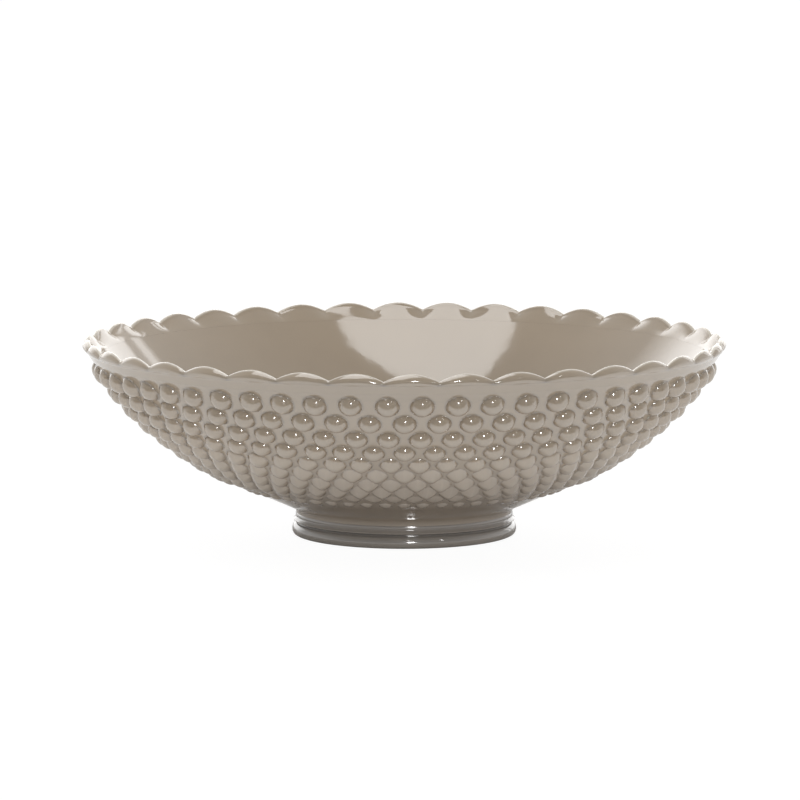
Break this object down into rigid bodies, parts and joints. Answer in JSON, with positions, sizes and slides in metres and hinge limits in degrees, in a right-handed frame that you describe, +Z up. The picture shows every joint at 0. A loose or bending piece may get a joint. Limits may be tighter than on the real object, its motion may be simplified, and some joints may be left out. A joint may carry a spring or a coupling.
{
  "type": "footed hobnail bowl",
  "caption": "Wide footed bowl in glossy glazed ceramic, with a hobnail wall, a scalloped rim band and a turned foot ring.",
  "frame": {"origin": "centre of the foot's resting plane, on the bowl's axis", "axes": "+Z up along the bowl's axis; -Y towards the front of the picture, +X to its right"},
  "size_m": [0.3192, 0.3196, 0.0986],
  "materials": {
    "wall_glaze": "glossy opaque greige glaze over ceramic",
    "rim_glaze": "glossy greige glaze, paler where it thins on the edge",
    "foot_glaze": "glossy greige glaze, darker where it pools in the cove"
  },
  "bodies": {
    "root": {"hobnail_wall": "wall_glaze", "scalloped_rim": "rim_glaze", "foot_ring": "foot_glaze"}
  },
  "joints": []
}
